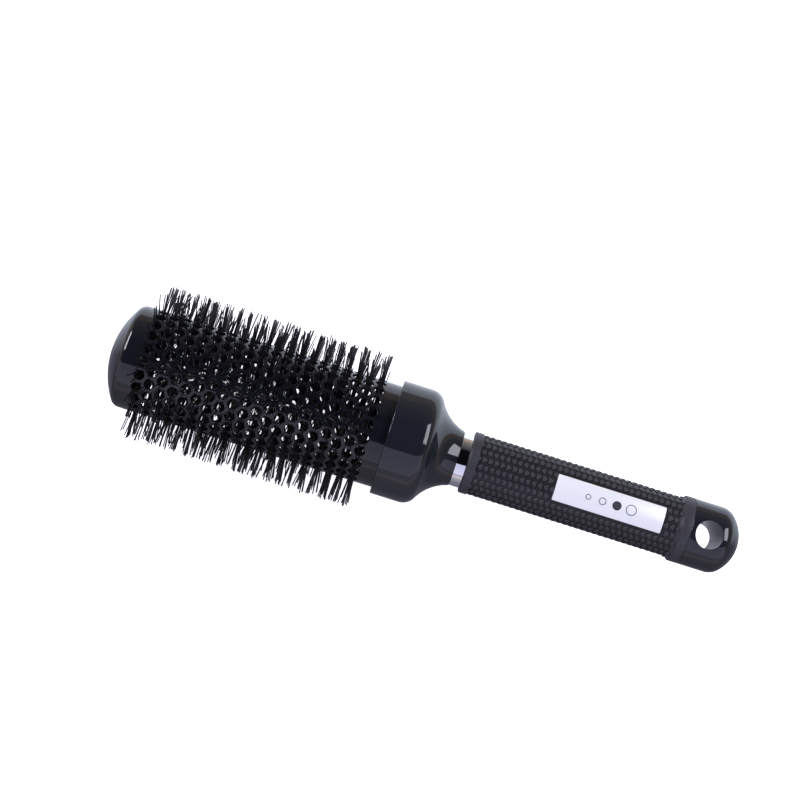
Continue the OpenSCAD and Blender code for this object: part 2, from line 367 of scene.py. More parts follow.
def ventTile(name):
    # one cell: the web outside, the rounded rim, the vent's wall and the web inside
    rim, wall = barrel["rim"], barrel["wall"]
    outer, corners = cellOutline()
    loops = [
        (outer, 0),
        (ventOutline(barrel["ventWidth"] + 2 * rim, barrel["cornerRadius"] + rim), 0),
        (ventOutline(barrel["ventWidth"] + 0.6 * rim, barrel["cornerRadius"] + 0.3 * rim), -0.3 * rim),
        (ventOutline(barrel["ventWidth"], barrel["cornerRadius"]), -rim),
        (ventOutline(barrel["ventWidth"], barrel["cornerRadius"]), -wall),
        (outer, -wall)]
    work = bmesh.new()
    rings = [[work.verts.new((x, y, z)) for x, y in points] for points, z in loops]
    for here, there in zip(rings, rings[1:]):
        for k in range(12):
            work.faces.new([here[k], here[(k + 1) % 12], there[(k + 1) % 12], there[k]])
    for ring, z, flip in ((rings[0], 0, False), (rings[-1], -wall, True)):
        for k, (x, y) in enumerate(corners):
            tip = work.verts.new((x, y, z))
            face = [ring[2 * k], tip, ring[2 * k + 1]]
            work.faces.new(face[::-1] if flip else face)
    mesh = bpy.data.meshes.new(name)
    work.to_mesh(mesh)
    work.free()
    return mesh


def edgeTile(name, reach, sign):
    # fills one vent pitch between the zigzag of the last cells and a straight edge
    corners = cellOutline()[1]
    tip, side = corners[0][0] * sign, corners[1][0] * sign
    half = ventPitch / 2
    work = bmesh.new()
    for z, flip in ((0, sign < 0), (-barrel["wall"], sign > 0)):
        shares = (-1, -0.8, -0.2, 0, 0.2, 0.8, 1)
        zigzag = [(tip + (side - tip) * abs(share), half * share) for share in shares]
        low = [work.verts.new((x, y, z)) for x, y in zigzag]
        high = [work.verts.new((reach * sign, y, z)) for x, y in zigzag]
        for k in range(len(low) - 1):
            face = [low[k], high[k], high[k + 1], low[k + 1]]
            work.faces.new(face[::-1] if flip else face)
    mesh = bpy.data.meshes.new(name)
    work.to_mesh(mesh)
    work.free()
    return mesh


def holderOf(mesh):
    # a plain object that a tree can take a mesh from; it is deleted once the tree has run
    holder = bpy.data.objects.new(mesh.name, mesh)
    bpy.context.scene.collection.objects.link(holder)
    return holder


def tubeTree():
    tree, given, result = newTree("perforatedTube", [
        ("Cell", "NodeSocketObject", None), ("Front Edge", "NodeSocketObject", None),
        ("Rear Edge", "NodeSocketObject", None), ("Rings", "NodeSocketInt", 20),
        ("Vents Round", "NodeSocketInt", 24), ("Ring Pitch", "NodeSocketFloat", 0.005),
        ("First Ring", "NodeSocketFloat", 0.0), ("Radius", "NodeSocketFloat", 0.02),
        ("Material", "NodeSocketMaterial", None)])

    def laid(source, count, shift):
        # tiles laid flat: X along the barrel, Y round it
        index = addNode(tree, "GeometryNodeInputIndex")
        ring = addNode(tree, "ShaderNodeMath", {0: index, 1: given["Vents Round"]}, operation="DIVIDE")
        ring = addNode(tree, "ShaderNodeMath", {0: ring}, operation="FLOOR")
        vent = addNode(tree, "ShaderNodeMath", {0: index, 1: given["Vents Round"]}, operation="MODULO")
        ring = addNode(tree, "ShaderNodeMath", {0: ring, 1: shift}, operation="ADD")
        odd = addNode(tree, "ShaderNodeMath", {0: ring, 1: 2.0}, operation="MODULO")
        odd = addNode(tree, "ShaderNodeMath", {0: odd, 1: -0.5, 2: 0.5}, operation="MULTIPLY_ADD")
        arcAt = addNode(tree, "ShaderNodeMath", {0: vent, 1: odd}, operation="ADD")
        lap = addNode(tree, "ShaderNodeMath", {0: given["Radius"], 1: 2 * math.pi}, operation="MULTIPLY")
        step = addNode(tree, "ShaderNodeMath", {0: lap, 1: given["Vents Round"]}, operation="DIVIDE")
        arcAt = addNode(tree, "ShaderNodeMath", {0: arcAt, 1: step}, operation="MULTIPLY")
        along = addNode(tree, "ShaderNodeMath", {0: ring, 1: given["Ring Pitch"], 2: given["First Ring"]},
                        operation="MULTIPLY_ADD")
        spot = addNode(tree, "ShaderNodeCombineXYZ", {"X": along, "Y": arcAt})
        points = addNode(tree, "GeometryNodePoints", {"Count": count, "Position": spot})
        tile = addNode(tree, "GeometryNodeObjectInfo", {"Object": source})
        return addNode(tree, "GeometryNodeInstanceOnPoints",
                       {"Points": points, "Instance": tile.outputs["Geometry"]})

    allVents = addNode(tree, "ShaderNodeMath", {0: given["Rings"], 1: given["Vents Round"]},
                       operation="MULTIPLY")
    lastRing = addNode(tree, "ShaderNodeMath", {0: given["Rings"], 1: 1.0}, operation="SUBTRACT")
    parts = [laid(given["Cell"], allVents, 0.0), laid(given["Front Edge"], given["Vents Round"], 0.0),
             laid(given["Rear Edge"], given["Vents Round"], lastRing)]
    joined = addNode(tree, "GeometryNodeJoinGeometry")
    for part in parts:
        tree.links.new(part.outputs[0], joined.inputs[0])
    flat = addNode(tree, "GeometryNodeRealizeInstances", {"Geometry": joined})
    place = addNode(tree, "ShaderNodeSeparateXYZ", {0: addNode(tree, "GeometryNodeInputPosition")})
    angle = addNode(tree, "ShaderNodeMath", {0: place.outputs["Y"], 1: given["Radius"]}, operation="DIVIDE")
    radius = addNode(tree, "ShaderNodeMath", {0: place.outputs["Z"], 1: given["Radius"]}, operation="ADD")
    sine = addNode(tree, "ShaderNodeMath", {0: angle}, operation="SINE")
    cosine = addNode(tree, "ShaderNodeMath", {0: angle}, operation="COSINE")
    across = addNode(tree, "ShaderNodeMath", {0: radius, 1: sine}, operation="MULTIPLY")
    above = addNode(tree, "ShaderNodeMath", {0: radius, 1: cosine}, operation="MULTIPLY")
    bent = addNode(tree, "ShaderNodeCombineXYZ", {"X": place.outputs["X"], "Y": across, "Z": above})
    tube = addNode(tree, "GeometryNodeSetPosition", {"Geometry": flat, "Position": bent})
    tube = addNode(tree, "GeometryNodeMergeByDistance", {"Geometry": tube, "Distance": 0.01 * mm})
    tube = addNode(tree, "GeometryNodeRealizeInstances", {"Geometry": tube})
    tube = addNode(tree, "GeometryNodeSetMaterial", {"Geometry": tube, "Material": given["Material"]})
    tree.links.new(tube.outputs[0], result.inputs[0])
    return tree


def makeBarrel():
    rollStart = barrelLow.x + barrel["rollLength"]
    rearEdge = barrelHigh.x
    cell = holderOf(ventTile("ventCell"))
    front = holderOf(edgeTile("frontBand", rowX[0] - rollStart, -1))
    rear = holderOf(edgeTile("rearBand", rearEdge - rowX[-1], 1))
    mesh = grow(tubeTree(), "barrelTube", {
        "Cell": cell, "Front Edge": front, "Rear Edge": rear, "Rings": len(rowX),
        "Vents Round": barrel["ventsRound"], "Ring Pitch": rowPitch, "First Ring": rowX[0],
        "Radius": barrelR, "Material": coat})
    for holder in (cell, front, rear):
        bpy.data.objects.remove(holder)
    # the rolled front edge and the rear edge close the wall
    work = bmesh.new()
    work.from_mesh(mesh)
    rollR, wall = barrel["rollRadius"], barrel["wall"]
    centre = (rollStart, barrelR - rollR)
    endAngle = 180 - math.degrees(math.acos(barrel["rollLength"] / rollR))
    outside = arc(centre, rollR, 90, endAngle, 8)
    inside = arc(centre, rollR - wall, endAngle, 90, 8)
    loops = []
    angles = []
    base = [v for v in work.verts if abs(v.co.x - rollStart) < 0.02 * mm]
    for v in base:
        if abs(math.hypot(v.co.y, v.co.z) - barrelR) < 0.02 * mm:
            angles.append(math.atan2(v.co.y, v.co.z))
    angles.sort()
    for x, radius in outside + inside:
        loops.append([work.verts.new((x, radius * math.sin(a), radius * math.cos(a))) for a in angles])
    rearOut = [work.verts.new((rearEdge, barrelR * math.sin(a), barrelR * math.cos(a))) for a in angles]
    rearIn = [work.verts.new((rearEdge, (barrelR - wall) * math.sin(a), (barrelR - wall) * math.cos(a)))
              for a in angles]
    count = len(angles)
    for here, there in list(zip(loops, loops[1:])) + [(rearIn, rearOut)]:
        for k in range(count):
            work.faces.new([here[k], here[(k + 1) % count], there[(k + 1) % count], there[k]])
    bmesh.ops.remove_doubles(work, verts=work.verts, dist=0.02 * mm)
    bmesh.ops.recalc_face_normals(work, faces=work.faces)
    work.to_mesh(mesh)
    work.free()
    smooth(mesh, 50)
    return newPiece("barrelTube", mesh, coat, ["barrel_tube"])


makeBarrel()
print("barrel made")


# bristles: filaments that leave the stem, pass a vent and end at the trimmed diameter

bristles = {"thickness": 0.5 * mm, "perVent": 4, "spreadInVent": 1.2 * mm, "tuftOffset": 0.4 * mm,
            "tuftLean": 1.8 * mm, "rootSpread": 0.5 * mm, "rootRadius": 2.6 * mm, "thinned": 0.04,
            "bow": 0.002, "sides": 5, "joints": 4}


def filament(name):
    # one filament of unit length along Z, a little bowed, with a rounded tip
    work = bmesh.new()
    rings = []
    sides, joints = bristles["sides"], bristles["joints"]
    stops = [i / joints for i in range(joints)] + [0.985, 1.0]
    for t in stops:
        bow = bristles["bow"] * 4 * t * (t - 1)
        radius = bristles["thickness"] / 2 * (1 if t < 0.99 else 0.75)
        ring = []
        for k in range(sides):
            a = 2 * math.pi * k / sides
            ring.append(work.verts.new((bow * 0.036 + radius * math.cos(a), radius * math.sin(a), t)))
        rings.append(ring)
    for here, there in zip(rings, rings[1:]):
        for k in range(sides):
            work.faces.new([here[k], here[(k + 1) % sides], there[(k + 1) % sides], there[k]])
    work.faces.new(rings[-1])
    work.faces.new(rings[0][::-1])
    mesh = bpy.data.meshes.new(name)
    work.to_mesh(mesh)
    work.free()
    return mesh


def rowTree():
    tree, given, result = newTree("bristleRow", [
        ("Filament", "NodeSocketObject", None), ("Row X", "NodeSocketFloat", 0.0),
        ("Turn", "NodeSocketFloat", 0.0), ("Vents Round", "NodeSocketInt", 24),
        ("Per Vent", "NodeSocketInt", 8),
        ("Barrel Radius", "NodeSocketFloat", 0.02), ("Tip Radius", "NodeSocketFloat", 0.033),
        ("Root Radius", "NodeSocketFloat", 0.003), ("Vent Spread", "NodeSocketFloat", 0.0015),
        ("Tuft Offset", "NodeSocketFloat", 0.0006), ("Tuft Lean", "NodeSocketFloat", 0.003),
        ("Root Spread", "NodeSocketFloat", 0.002), ("Thinned", "NodeSocketFloat", 0.15),
        ("Seed", "NodeSocketInt", 1),
        ("Material", "NodeSocketMaterial", None)])
    index = addNode(tree, "GeometryNodeInputIndex")

    def chance(low, high, salt, each=index):
        # a random number for each filament, or the same for all that share a number, such as a tuft's
        seed = addNode(tree, "ShaderNodeMath", {0: given["Seed"], 1: float(salt)}, operation="ADD")
        dice = addNode(tree, "FunctionNodeRandomValue", {"ID": each, "Seed": seed}, data_type="FLOAT")
        for socket in dice.inputs:
            if socket.enabled and socket.name == "Min":
                socket.default_value = low
            if socket.enabled and socket.name == "Max":
                socket.default_value = high
        return next(s for s in dice.outputs if s.enabled)

    def ringPoint(x, angle, radius):
        # a point given along, round and out from the axis
        sine = addNode(tree, "ShaderNodeMath", {0: angle}, operation="SINE")
        cosine = addNode(tree, "ShaderNodeMath", {0: angle}, operation="COSINE")
        across = addNode(tree, "ShaderNodeMath", {0: radius, 1: sine}, operation="MULTIPLY")
        above = addNode(tree, "ShaderNodeMath", {0: radius, 1: cosine}, operation="MULTIPLY")
        return addNode(tree, "ShaderNodeCombineXYZ", {"X": x, "Y": across, "Z": above})

    vent = addNode(tree, "ShaderNodeMath", {0: index, 1: given["Per Vent"]}, operation="DIVIDE")
    vent = addNode(tree, "ShaderNodeMath", {0: vent}, operation="FLOOR")
    step = addNode(tree, "ShaderNodeMath", {0: 2 * math.pi, 1: given["Vents Round"]}, operation="DIVIDE")
    middle = addNode(tree, "ShaderNodeMath", {0: vent, 1: step, 2: given["Turn"]}, operation="MULTIPLY_ADD")
    # where it passes the vent: a random spot in a disc
    ray = addNode(tree, "ShaderNodeMath", {0: chance(0, 1, 11)}, operation="SQRT")
    ray = addNode(tree, "ShaderNodeMath", {0: ray, 1: given["Vent Spread"]}, operation="MULTIPLY")
    bearing = chance(0, 2 * math.pi, 12)
    east = addNode(tree, "ShaderNodeMath", {0: bearing}, operation="COSINE")
    north = addNode(tree, "ShaderNodeMath", {0: bearing}, operation="SINE")
    tuftX = addNode(tree, "ShaderNodeMath", {
        0: chance(-1, 1, 21, vent), 1: given["Tuft Offset"], 2: given["Row X"]}, operation="MULTIPLY_ADD")
    tuftArc = addNode(tree, "ShaderNodeMath", {0: chance(-1, 1, 22, vent), 1: given["Tuft Offset"]},
                      operation="MULTIPLY")
    passX = addNode(tree, "ShaderNodeMath", {0: ray, 1: east, 2: tuftX}, operation="MULTIPLY_ADD")
    passArc = addNode(tree, "ShaderNodeMath", {0: ray, 1: north, 2: tuftArc}, operation="MULTIPLY_ADD")
    passTurn = addNode(tree, "ShaderNodeMath", {0: passArc, 1: given["Barrel Radius"]}, operation="DIVIDE")
    passAngle = addNode(tree, "ShaderNodeMath", {0: middle, 1: passTurn}, operation="ADD")
    passPoint = ringPoint(passX, passAngle, given["Barrel Radius"])
    # where it leaves the stem
    leanX = addNode(tree, "ShaderNodeMath", {
        0: chance(-1, 1, 23, vent), 1: given["Tuft Lean"], 2: given["Row X"]}, operation="MULTIPLY_ADD")
    stray = addNode(tree, "ShaderNodeMath", {0: chance(0, 1, 24), 1: 0.93}, operation="GREATER_THAN")
    stray = addNode(tree, "ShaderNodeMath", {0: stray, 1: 2.2, 2: 1.0}, operation="MULTIPLY_ADD")
    jitter = addNode(tree, "ShaderNodeMath", {0: chance(-1, 1, 13), 1: stray}, operation="MULTIPLY")
    rootX = addNode(tree, "ShaderNodeMath", {0: jitter, 1: given["Root Spread"], 2: leanX},
                    operation="MULTIPLY_ADD")
    rootAngle = addNode(tree, "ShaderNodeMath", {0: middle, 1: chance(-0.4, 0.4, 25, vent)},
                        operation="ADD")
    rootAngle = addNode(tree, "ShaderNodeMath", {0: rootAngle, 1: chance(-0.1, 0.1, 14)}, operation="ADD")
    rootPoint = ringPoint(rootX, rootAngle, given["Root Radius"])
    run = addNode(tree, "ShaderNodeVectorMath", {0: passPoint, 1: rootPoint}, operation="SUBTRACT")
    runLength = addNode(tree, "ShaderNodeVectorMath", {0: run}, operation="LENGTH").outputs["Value"]
    tipSpan = addNode(tree, "ShaderNodeMath", {0: given["Tip Radius"], 1: given["Root Radius"]},
                      operation="SUBTRACT")
    ventSpan = addNode(tree, "ShaderNodeMath", {0: given["Barrel Radius"], 1: given["Root Radius"]},
                       operation="SUBTRACT")
    stretch = addNode(tree, "ShaderNodeMath", {0: tipSpan, 1: ventSpan}, operation="DIVIDE")
    stretch = addNode(tree, "ShaderNodeMath", {0: stretch, 1: chance(0.94, 0.99, 15)}, operation="MULTIPLY")
    length = addNode(tree, "ShaderNodeMath", {0: runLength, 1: stretch}, operation="MULTIPLY")
    heading = addNode(tree, "FunctionNodeAlignRotationToVector", {"Vector": run}, axis="Z")
    spin = addNode(tree, "ShaderNodeCombineXYZ", {"Z": chance(0, 2 * math.pi, 16)})
    heading = addNode(tree, "FunctionNodeRotateRotation", {"Rotation": heading, "Rotate By": spin},
                      rotation_space="LOCAL")
    size = addNode(tree, "ShaderNodeCombineXYZ", {"X": 1.0, "Y": 1.0, "Z": length})
    total = addNode(tree, "ShaderNodeMath", {0: given["Vents Round"], 1: given["Per Vent"]},
                    operation="MULTIPLY")
    points = addNode(tree, "GeometryNodePoints", {"Count": total, "Position": rootPoint})
    thinned = addNode(tree, "ShaderNodeMath", {0: chance(0, 1, 17), 1: given["Thinned"]},
                      operation="LESS_THAN")
    hair = addNode(tree, "GeometryNodeObjectInfo", {"Object": given["Filament"]})
    placed = addNode(tree, "GeometryNodeInstanceOnPoints", {
        "Points": points, "Instance": hair.outputs["Geometry"], "Rotation": heading, "Scale": size})
    kept = addNode(tree, "GeometryNodeDeleteGeometry", {"Geometry": placed, "Selection": thinned},
                   domain="INSTANCE")
    row = addNode(tree, "GeometryNodeRealizeInstances", {"Geometry": kept})
    row = addNode(tree, "GeometryNodeSetMaterial", {"Geometry": row, "Material": given["Material"]})
    tree.links.new(row.outputs[0], result.inputs[0])
    return tree


def makeBristles():
    hair = holderOf(filament("filament"))
    tree = rowTree()
    halfStep = math.pi / barrel["ventsRound"]
    for number, (node, x) in enumerate(zip(rowNodes, rowX), start=1):
        mesh = grow(tree, f"bristles{number:02d}", {
            "Filament": hair, "Row X": x, "Turn": halfStep * (number % 2),
            "Vents Round": barrel["ventsRound"], "Per Vent": bristles["perVent"], "Barrel Radius": barrelR,
            "Tip Radius": bristleR, "Root Radius": bristles["rootRadius"],
            "Vent Spread": bristles["spreadInVent"], "Tuft Offset": bristles["tuftOffset"],
            "Tuft Lean": bristles["tuftLean"], "Root Spread": bristles["rootSpread"],
            "Thinned": bristles["thinned"], "Seed": 40 * number, "Material": nylon})
        smooth(mesh, 80)
        newPiece(f"bristles{number:02d}", mesh, nylon, [node])
    bpy.data.objects.remove(hair)


makeBristles()
print("bristles made")


# nose cap

nose = {"domeRadius": 35 * mm, "wall": 2 * mm, "skirtRadius": 19.2 * mm, "snapRadius": 19.7 * mm,
        "rimRadius": 20.28 * mm}


def makeNose():
    rimX, rimR = barrelLow.x, nose["rimRadius"]
    domeR = nose["domeRadius"]
    centreX = noseLow.x + domeR
    reach = math.degrees(math.asin(rimR / domeR))
    profile = arc((centreX, 0), domeR, 180, 180 - reach, 24)
    profile[0] = (noseLow.x, 0)
    profile += [(rimX, rimR - 0.1 * mm), (rimX, nose["skirtRadius"])]
    profile += [(noseHigh.x - 1 * mm, nose["skirtRadius"]), (noseHigh.x - 1 * mm, nose["snapRadius"]),
                (noseHigh.x, nose["snapRadius"]), (noseHigh.x, nose["skirtRadius"] - nose["wall"])]
    innerR = domeR - nose["wall"]
    innerReach = math.degrees(math.asin((nose["skirtRadius"] - nose["wall"]) / innerR))
    inside = arc((centreX, 0), innerR, 180 - innerReach, 180, 16)
    inside[-1] = (centreX - innerR, 0)
    mesh = turned("noseCap", profile + inside, closed=False)
    return newPiece("noseCap", mesh, gloss, ["nose_cap"])


makeNose()


# collar: a bell with a rounded shoulder and a hollow flare

collar = {"shoulder": 6.5 * mm, "flare": 18.4 * mm, "flareOver": 4.7 * mm, "neckRadius": 11.5 * mm,
          "lip": 0.5 * mm, "ledge": 4.5 * mm, "ledgeInset": 1.1 * mm}


def makeCollar():
    x0, x1, outerR = collarLow.x, collarHigh.x, collarHigh.z
    flareR, shoulderR, lip = collar["flare"], collar["shoulder"], collar["lip"]
    flareOver, neckR = collar["flareOver"], collar["neckRadius"]
    flareC = (x1 + flareOver, neckR + math.sqrt(flareR ** 2 - flareOver ** 2))
    shoulderCr = outerR - shoulderR
    reach = flareR + shoulderR
    shoulderC = (flareC[0] - math.sqrt(reach ** 2 - (flareC[1] - shoulderCr) ** 2), shoulderCr)
    slope = math.degrees(math.atan2(flareC[1] - shoulderC[1], flareC[0] - shoulderC[0]))
    neckEnd = math.degrees(math.atan2(neckR - flareC[1], x1 - flareC[0]))
    pocketR, boreR = barrelR + 0.1 * mm, coreHigh.z + 0.1 * mm
    profile = arc((x0 + lip, pocketR + lip), lip, 270, 180, 4)
    profile += arc((x0 + lip, outerR - lip), lip, 180, 90, 4)
    profile += arc(shoulderC, shoulderR, 90, slope, 16)
    profile += arc(flareC, flareR, slope + 180, 360 + neckEnd, 20)[1:]
    ledgeX, ledgeR = barrelHigh.x + collar["ledge"], barrelR - collar["ledgeInset"]
    profile += [(x1, boreR), (ledgeX, boreR), (ledgeX, ledgeR), (barrelHigh.x, ledgeR)]
    profile.append((barrelHigh.x, pocketR))
    mesh = turned("collarBell", profile)
    return newPiece("collarBell", mesh, gloss, ["collar"])


makeCollar()


# chrome ring

def makeRing():
    x0, x1, outerR, edge = ringLow.x, ringHigh.x, ringHigh.z, 0.3 * mm
    profile = [(x0, coreHigh.z + 0.1 * mm)]
    profile += arc((x0 + edge, outerR - edge), edge, 180, 90, 5)
    profile += arc((x1 - edge, outerR - edge), edge, 90, 0, 5)
    profile += [(x1, coreHigh.z + 0.1 * mm)]
    mesh = turned("chromeRing", profile)
    return newPiece("chromeRing", mesh, chrome, ["chrome_ring"])


makeRing()
print("nose, collar and ring made")


# grip: a turned sleeve with rows of small pads that point to and fro

grip = {"padRows": 24, "padPitch": 2.52 * mm, "padHeight": 0.55 * mm, "padLength": 2.15 * mm,
        "padWidth": 2.45 * mm, "frontBand": 3.7 * mm, "frontRise": 0.3 * mm, "rearBand": 3.8 * mm,
        "rearSlope": 1.9 * mm, "edge": 0.6 * mm, "padsRadius": gripPadR}


def padMesh(name):
    # a heart-shaped pad, its point towards +X, with rounded shoulders
    half = [(1.0, 0.0), (0.72, 0.36), (0.2, 0.78), (-0.35, 1.0), (-0.85, 0.88), (-1.0, 0.45), (-0.78, 0.0)]
    outline = half + [(x, -y) for x, y in half[-2:0:-1]]
    length, width = grip["padLength"] / 2, grip["padWidth"] / 2
    work = bmesh.new()
    rings = []
    for share, height in ((1.0, -0.25), (0.95, 0.45), (0.84, 0.85), (0.6, 1.0)):
        rings.append([work.verts.new((x * length * share, y * width * share, height * grip["padHeight"]))
                      for x, y in outline])
    count = len(outline)
    for here, there in zip(rings, rings[1:]):
        for k in range(count):
            work.faces.new([here[k], here[(k + 1) % count], there[(k + 1) % count], there[k]])
    work.faces.new(rings[-1])
    mesh = bpy.data.meshes.new(name)
    work.to_mesh(mesh)
    work.free()
    return mesh


def padTree():
    tree, given, result = newTree("gripPads", [
        ("Pad", "NodeSocketObject", None), ("Rows", "NodeSocketInt", 24), ("Per Row", "NodeSocketInt", 33),
        ("Pitch", "NodeSocketFloat", 0.0026), ("Start", "NodeSocketFloat", 0.0),
        ("Radius", "NodeSocketFloat", 0.012),
        ("Slope Start", "NodeSocketFloat", -0.02), ("Slope End", "NodeSocketFloat", -0.015),
        ("Slope Rise", "NodeSocketFloat", 0.001),
        ("Clear Front", "NodeSocketFloat", 0.0), ("Clear Rear", "NodeSocketFloat", 0.0),
        ("Clear Angle", "NodeSocketFloat", 0.5), ("Material", "NodeSocketMaterial", None)])
    index = addNode(tree, "GeometryNodeInputIndex")
    row = addNode(tree, "ShaderNodeMath", {0: index, 1: given["Per Row"]}, operation="DIVIDE")
    row = addNode(tree, "ShaderNodeMath", {0: row}, operation="FLOOR")
    pad = addNode(tree, "ShaderNodeMath", {0: index, 1: given["Per Row"]}, operation="MODULO")
    odd = addNode(tree, "ShaderNodeMath", {0: row, 1: 2.0}, operation="MODULO")
    shift = addNode(tree, "ShaderNodeMath", {0: odd, 1: 0.5, 2: pad}, operation="MULTIPLY_ADD")
    along = addNode(tree, "ShaderNodeMath", {0: shift, 1: given["Pitch"], 2: given["Start"]},
                    operation="MULTIPLY_ADD")
    step = addNode(tree, "ShaderNodeMath", {0: 2 * math.pi, 1: given["Rows"]}, operation="DIVIDE")
    angle = addNode(tree, "ShaderNodeMath", {0: row, 1: 0.5}, operation="ADD")
    angle = addNode(tree, "ShaderNodeMath", {0: angle, 1: step}, operation="MULTIPLY")
    sine = addNode(tree, "ShaderNodeMath", {0: angle}, operation="SINE")
    cosine = addNode(tree, "ShaderNodeMath", {0: angle}, operation="COSINE")
    rise = addNode(tree, "ShaderNodeMapRange", {
        "Value": along, "From Min": given["Slope Start"], "From Max": given["Slope End"], "To Min": 0.0,
        "To Max": given["Slope Rise"]})
    out = addNode(tree, "ShaderNodeMath", {0: given["Radius"], 1: rise}, operation="ADD")
    across = addNode(tree, "ShaderNodeMath", {0: out, 1: sine}, operation="MULTIPLY")
    above = addNode(tree, "ShaderNodeMath", {0: out, 1: cosine}, operation="MULTIPLY")
    spot = addNode(tree, "ShaderNodeCombineXYZ", {"X": along, "Y": across, "Z": above})
    total = addNode(tree, "ShaderNodeMath", {0: given["Rows"], 1: given["Per Row"]}, operation="MULTIPLY")
    points = addNode(tree, "GeometryNodePoints", {"Count": total, "Position": spot})
    # no pads where the label plate lies, on the top side
    limit = addNode(tree, "ShaderNodeMath", {0: given["Clear Angle"]}, operation="COSINE")
    inArc = addNode(tree, "ShaderNodeMath", {0: cosine, 1: limit}, operation="GREATER_THAN")
    pastFront = addNode(tree, "ShaderNodeMath", {0: along, 1: given["Clear Front"]},
                        operation="GREATER_THAN")
    beforeRear = addNode(tree, "ShaderNodeMath", {0: along, 1: given["Clear Rear"]}, operation="LESS_THAN")
    under = addNode(tree, "ShaderNodeMath", {0: pastFront, 1: beforeRear}, operation="MULTIPLY")
    under = addNode(tree, "ShaderNodeMath", {0: under, 1: inArc}, operation="MULTIPLY")
    lean = addNode(tree, "ShaderNodeMath", {0: angle, 1: -1.0}, operation="MULTIPLY")
    face = addNode(tree, "ShaderNodeMath", {0: odd, 1: math.pi}, operation="MULTIPLY")
    lean = addNode(tree, "ShaderNodeCombineXYZ", {"X": lean})
    face = addNode(tree, "ShaderNodeCombineXYZ", {"Z": face})
    heading = addNode(tree, "FunctionNodeRotateRotation", {"Rotation": lean, "Rotate By": face},
                      rotation_space="LOCAL")
    shape = addNode(tree, "GeometryNodeObjectInfo", {"Object": given["Pad"]})
    placed = addNode(tree, "GeometryNodeInstanceOnPoints", {
        "Points": points, "Instance": shape.outputs["Geometry"], "Rotation": heading})
    kept = addNode(tree, "GeometryNodeDeleteGeometry", {"Geometry": placed, "Selection": under},
                   domain="INSTANCE")
    pads = addNode(tree, "GeometryNodeRealizeInstances", {"Geometry": kept})
    pads = addNode(tree, "GeometryNodeSetMaterial", {"Geometry": pads, "Material": given["Material"]})
    tree.links.new(pads.outputs[0], result.inputs[0])
    return tree


def makeGrip():
    x0, x1, edge = gripLow.x, gripHigh.x, grip["edge"]
    baseR = grip["padsRadius"] - grip["padHeight"]
    frontR, rearR = grip["padsRadius"] + grip["frontRise"], tailHigh.z
    insideR = coreHigh.z
    frontEnd = x0 + grip["frontBand"]
    slopeEnd = x1 - grip["rearBand"]
    slopeStart = slopeEnd - grip["rearSlope"]
    profile = [(x0, insideR)]
    profile += arc((x0 + edge, frontR - edge), edge, 180, 90, 5)
    profile += arc((frontEnd - edge / 2, frontR - edge / 2), edge / 2, 90, 0, 4)
    rise = rearR - 0.3 * mm - grip["padsRadius"]
    profile += [(frontEnd, baseR), (slopeStart, baseR), (slopeEnd, baseR + rise)]
    profile += arc((slopeEnd + edge / 2, rearR - edge / 2), edge / 2, 180, 90, 4)
    profile += arc((x1 - edge / 3, rearR - edge / 3), edge / 3, 90, 0, 3)
    profile += [(x1, insideR)]
    sleeve = turned("gripSleeve", profile, segments=144)
    pad = holderOf(padMesh("pad"))
    start = frontEnd + grip["padPitch"] * 0.02
    perRow = int((slopeEnd - start) / grip["padPitch"]) + 1
    clear = grip["padPitch"] * 0.35
    pads = grow(padTree(), "gripPads", {
        "Pad": pad, "Rows": grip["padRows"], "Per Row": perRow, "Pitch": grip["padPitch"], "Start": start,
        "Radius": baseR, "Slope Start": slopeStart, "Slope End": slopeEnd, "Slope Rise": rise,
        "Clear Front": labelLow.x - clear, "Clear Rear": labelHigh.x + clear,
        "Clear Angle": math.asin(labelHigh.y / labelHigh.z) + 0.02, "Material": rubber})
    bpy.data.objects.remove(pad)
    smooth(pads, 60)
    newPiece("gripPads", pads, rubber)
    return newPiece("gripSleeve", sleeve, rubber, ["grip_sleeve"])


makeGrip()
print("grip made")


# label plate

plate = {"corner": 0.4 * mm, "thickness": 0.7 * mm, "edge": 0.18 * mm, "across": 20}


def makeLabel():
    x0, x1, halfWidth, radius = labelLow.x, labelHigh.x, labelHigh.y, labelHigh.z
    halfAngle = math.asin(halfWidth / radius)
    corner = plate["corner"] / radius
    work = bmesh.new()
    stations = []
    steps = plate["across"]
    for j in range(steps + 1):
        stations.append(-math.cos(math.pi * j / steps) * halfAngle)
    rows = []
    for a in stations:
        inset = max(0, abs(a) - (halfAngle - corner)) * radius
        cut = plate["corner"] - math.sqrt(max(0, plate["corner"] ** 2 - inset ** 2))
        across, above = radius * math.sin(a), radius * math.cos(a)
        rows.append([work.verts.new((x, across, above)) for x in (x0 + cut, x1 - cut)])
    for here, there in zip(rows, rows[1:]):
        work.faces.new([here[0], here[1], there[1], there[0]])
    mesh = bpy.data.meshes.new("labelPlate")
    work.to_mesh(mesh)
    work.free()
    piece = newPiece("labelPlate", mesh, label, ["label_plate"])
    thick = piece.modifiers.new("thickness", "SOLIDIFY")
    thick.thickness = plate["thickness"]
    thick.offset = -1
    bevel = piece.modifiers.new("edge", "BEVEL")
    bevel.width = plate["edge"]
    bevel.segments = 2
    bevel.limit_method = "ANGLE"
    bevel.angle_limit = math.radians(50)
    mesh.shade_smooth()
    return piece


makeLabel()


# tail cap

tail = {"edgeRadius": 7.4 * mm, "holeRadius": 5.75 * mm, "mouth": 0.6 * mm, "frontEdge": 0.3 * mm,
        "roundLength": 10.1 * mm, "spigotRadius": 6.3 * mm}


